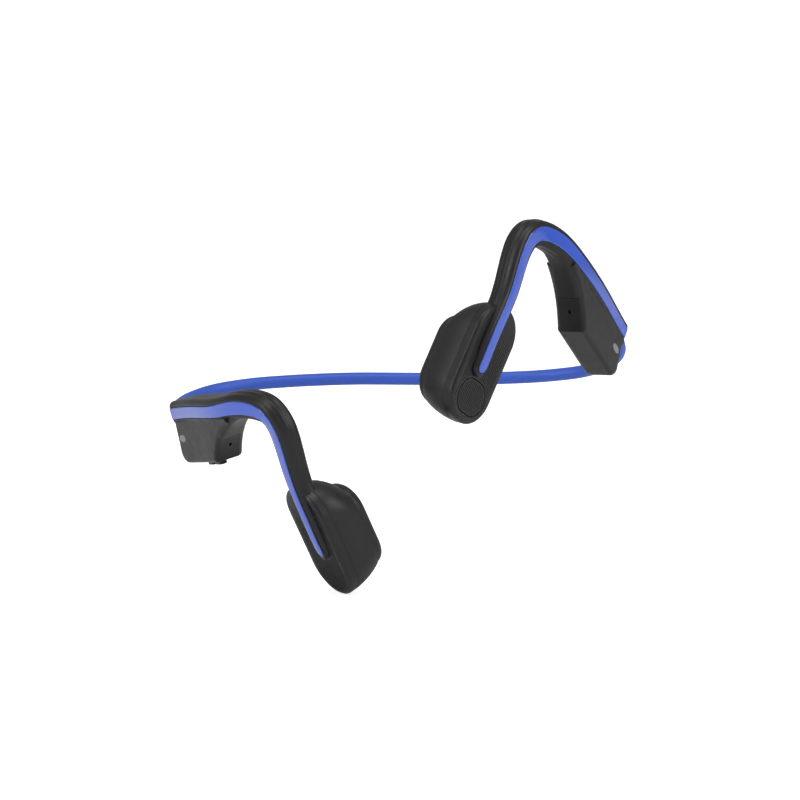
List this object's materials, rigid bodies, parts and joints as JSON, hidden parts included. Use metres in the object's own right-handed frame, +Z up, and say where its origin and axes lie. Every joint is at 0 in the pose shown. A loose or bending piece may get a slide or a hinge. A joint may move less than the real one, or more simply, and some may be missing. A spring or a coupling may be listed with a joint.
{
  "type": "bone conduction headphones",
  "caption": "Open-ear bone conduction headphones: two ear hooks with glossy stripes and transducer pods, joined by a slim neckband behind the neck.",
  "frame": {"origin": "middle of the neckband's back, on the band's centre line", "axes": "+X to the wearer's left, +Y to the back, +Z up"},
  "size_m": [0.1372, 0.1019, 0.106],
  "materials": {
    "arm plastic": "satin soft-touch",
    "stripe gloss": "gloss lacquer",
    "band silicone": "satin silicone",
    "pad silicone": "satin silicone",
    "mark print": "satin",
    "spring wire": "drawn titanium",
    "steel": "bright",
    "lead jacket": "matte",
    "board": "solder mask",
    "cell foil": "satin foil",
    "copper": "enamelled winding",
    "gasket rubber": "matte",
    "light pipe": "frosted"
  },
  "bodies": {
    "neckband_left": {"band_sleeve_left": "band silicone", "band_wire_left": "spring wire", "band_leads_left": "lead jacket"},
    "left_arm": {"arm_left": "arm plastic", "arm_leads_left": "lead jacket", "stripe_left": "stripe gloss", "housing_shell_left": "arm plastic", "housing_cover_left": "arm plastic", "housing_gasket_left": "gasket rubber", "cover_screw_1_left": "steel", "cover_screw_2_left": "steel", "microphone_left": "cell foil", "mark_left": "mark print", "pod_cap_left": "arm plastic", "pod_body_left": "pad silicone", "contact_pad_left": "pad silicone", "transducer_yoke_left": "steel", "transducer_magnet_left": "steel", "transducer_coil_left": "copper", "transducer_spring_left": "steel", "battery_cell_left": "cell foil", "battery_board_left": "board", "button_board_left": "board", "dome_switch_left": "steel"},
    "neckband_right": {"band_sleeve_right": "band silicone", "band_wire_right": "spring wire", "band_leads_right": "lead jacket"},
    "right_arm": {"arm_right": "arm plastic", "arm_leads_right": "lead jacket", "stripe_right": "stripe gloss", "housing_shell_right": "arm plastic", "housing_cover_right": "arm plastic", "housing_gasket_right": "gasket rubber", "cover_screw_1_right": "steel", "cover_screw_2_right": "steel", "microphone_right": "cell foil", "mark_right": "mark print", "pod_cap_right": "arm plastic", "pod_body_right": "pad silicone", "contact_pad_right": "pad silicone", "transducer_yoke_right": "steel", "transducer_magnet_right": "steel", "transducer_coil_right": "copper", "transducer_spring_right": "steel", "main_board_right": "board", "charging_port_right": "steel", "volume_up_switch_right": "steel", "volume_down_switch_right": "steel", "status_light_right": "light pipe"},
    "volume_up": {"volume_up_button_right": "arm plastic"},
    "volume_down": {"volume_down_button_right": "arm plastic"},
    "port_flap": {"port_cover_right": "pad silicone"},
    "multifunction": {"multifunction_button_left": "arm plastic"}
  },
  "joints": [
    {"name": "band_twist", "type": "hinge", "parent": "neckband_right", "child": "neckband_left", "pos_m": [0, 0, 0], "axis": [1, 0, 0], "range_deg": [-10, 43], "stiffness_Nm_per_rad": 0.4},
    {"name": "right_arm_spread", "type": "hinge", "parent": "neckband_right", "child": "right_arm", "pos_m": [-0.06424, -0.04266, -0.00299], "axis": [0, 0.2823, -0.9593], "range_deg": [0, 30], "stiffness_Nm_per_rad": 0.2},
    {"name": "left_arm_spread", "type": "hinge", "parent": "neckband_left", "child": "left_arm", "pos_m": [0.06424, -0.03748, 0.02059], "axis": [0, 0.2823, 0.9593], "range_deg": [0, 30], "stiffness_Nm_per_rad": 0.2},
    {"name": "volume_up_press", "type": "slide", "parent": "right_arm", "child": "volume_up", "axis": [-0.2771, 0.072, 0.9581], "range_m": [0, 0.0004], "stiffness_N_per_m": 300},
    {"name": "volume_down_press", "type": "slide", "parent": "right_arm", "child": "volume_down", "axis": [-0.2771, 0.072, 0.9581], "range_m": [0, 0.0004], "stiffness_N_per_m": 300},
    {"name": "port_flap_turn", "type": "hinge", "parent": "right_arm", "child": "port_flap", "pos_m": [-0.05962, -0.04527, -0.01696], "axis": [0.8669, 0.4488, 0.217], "range_deg": [0, 95], "stiffness_Nm_per_rad": 0.0002},
    {"name": "multifunction_press", "type": "slide", "parent": "left_arm", "child": "multifunction", "axis": [-0.7611, 0.641, 0.0995], "range_m": [0, 0.0004], "stiffness_N_per_m": 300}
  ]
}
